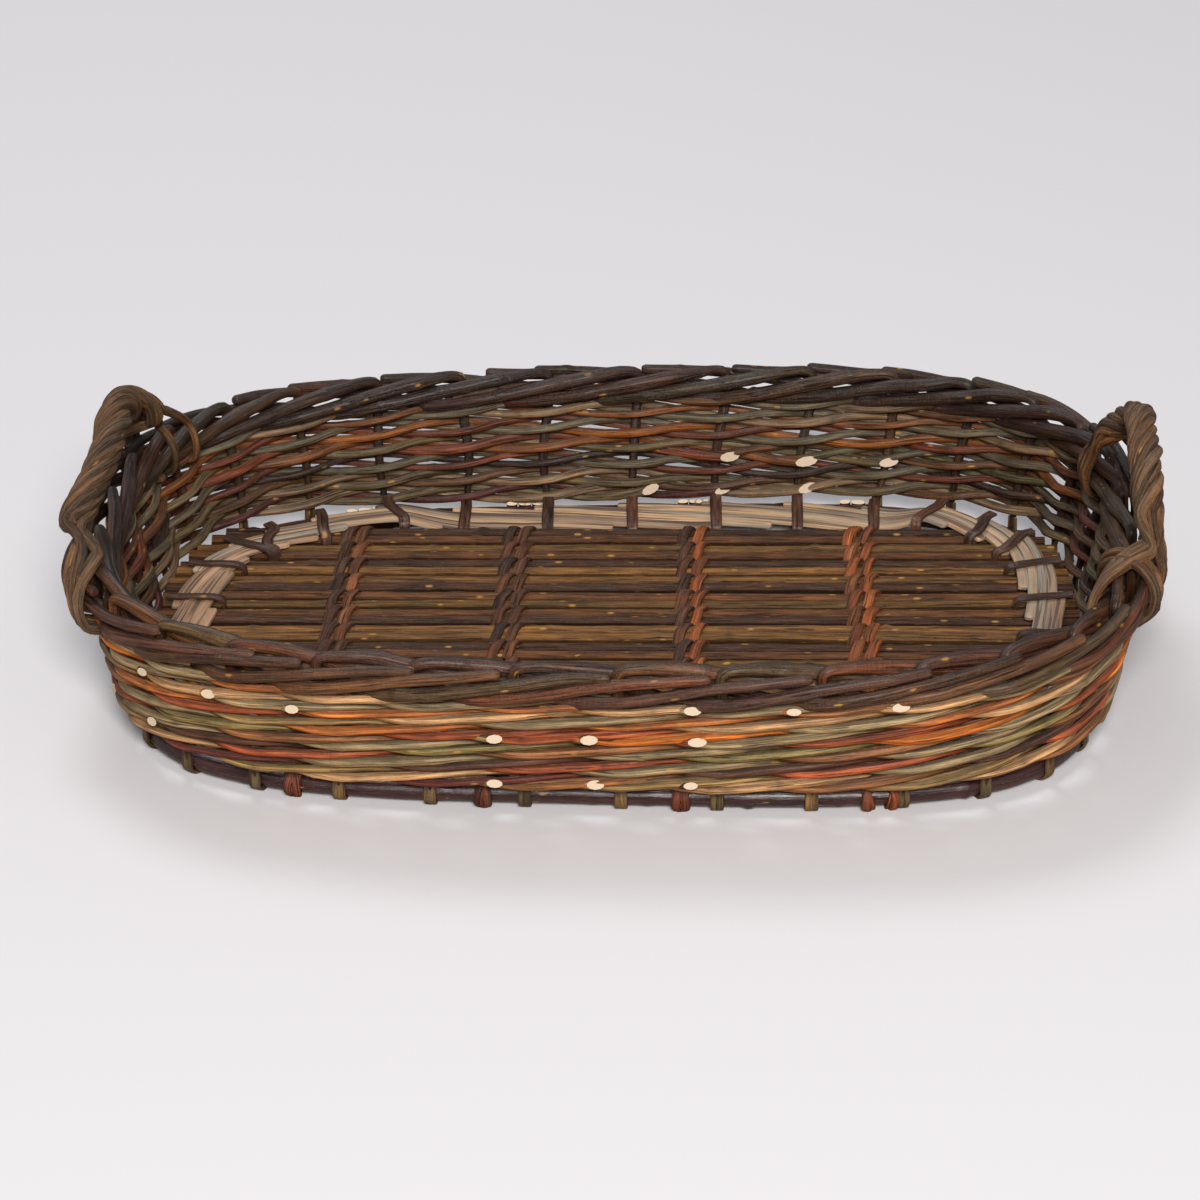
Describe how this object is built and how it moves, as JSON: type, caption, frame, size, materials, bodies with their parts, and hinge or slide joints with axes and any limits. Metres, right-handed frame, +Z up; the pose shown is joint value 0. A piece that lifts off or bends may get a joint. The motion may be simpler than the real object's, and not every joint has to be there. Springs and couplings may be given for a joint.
{
  "type": "wicker serving tray",
  "caption": "Oval wicker serving tray with a rod base, low waled wall, rod border and a twisted rope handle at each end.",
  "frame": {"origin": "centre of the tray's footprint, on the surface it stands on", "axes": "+X along the tray's long side, +Y away from the side in front, +Z up"},
  "size_m": [0.6031, 0.4246, 0.1442],
  "materials": {
    "hoop_bark": "glossy dark red bark",
    "stake_bark": "satin brown bark",
    "shaved_willow": "matt shaved wood",
    "base_rod_bark": "satin olive-brown bark",
    "brown_band_bark": "matt dark bark",
    "orange_band_bark": "satin orange bark",
    "orange_wale_bark": "satin orange bark",
    "olive_wale_bark": "satin olive bark",
    "red_wale_bark": "satin red-brown bark",
    "handle_bark": "satin grey-brown bark"
  },
  "bodies": {
    "root": {"base_rod_pair_01": "base_rod_bark", "base_rod_pair_02": "base_rod_bark", "base_rod_pair_03": "base_rod_bark", "base_rod_pair_04": "base_rod_bark", "base_rod_pair_05": "base_rod_bark", "base_rod_pair_06": "base_rod_bark", "base_rod_pair_07": "base_rod_bark", "base_rod_pair_08": "base_rod_bark", "base_rod_pair_09": "base_rod_bark", "base_rod_pair_10": "base_rod_bark", "base_rod_pair_11": "base_rod_bark", "base_rod_pair_12": "base_rod_bark", "cross_band_1": "brown_band_bark", "cross_band_2": "brown_band_bark", "cross_band_3": "orange_band_bark", "cross_band_4": "orange_band_bark", "frame_hoop": "hoop_bark", "left_rope_handle": "handle_bark", "lower_wale_strand_1": "orange_wale_bark", "lower_wale_strand_2": "olive_wale_bark", "lower_wale_strand_3": "red_wale_bark", "right_rope_handle": "handle_bark", "shaved_tail_ring": "shaved_willow", "stake_01": "stake_bark", "stake_02": "stake_bark", "stake_03": "stake_bark", "stake_04": "stake_bark", "stake_05": "stake_bark", "stake_06": "stake_bark", "stake_07": "stake_bark", "stake_08": "stake_bark", "stake_09": "stake_bark", "stake_10": "stake_bark", "stake_11": "stake_bark", "stake_12": "stake_bark", "stake_13": "stake_bark", "stake_14": "stake_bark", "stake_15": "stake_bark", "stake_16": "stake_bark", "stake_17": "stake_bark", "stake_18": "stake_bark", "stake_19": "stake_bark", "stake_20": "stake_bark", "stake_21": "stake_bark", "stake_22": "stake_bark", "stake_23": "stake_bark", "stake_24": "stake_bark", "stake_25": "stake_bark", "stake_26": "stake_bark", "stake_27": "stake_bark", "stake_28": "stake_bark", "stake_29": "stake_bark", "stake_30": "stake_bark", "stake_31": "stake_bark", "stake_32": "stake_bark", "stake_33": "stake_bark", "stake_34": "stake_bark", "upper_wale_strand_1": "orange_wale_bark", "upper_wale_strand_2": "olive_wale_bark", "upper_wale_strand_3": "red_wale_bark"}
  },
  "joints": []
}
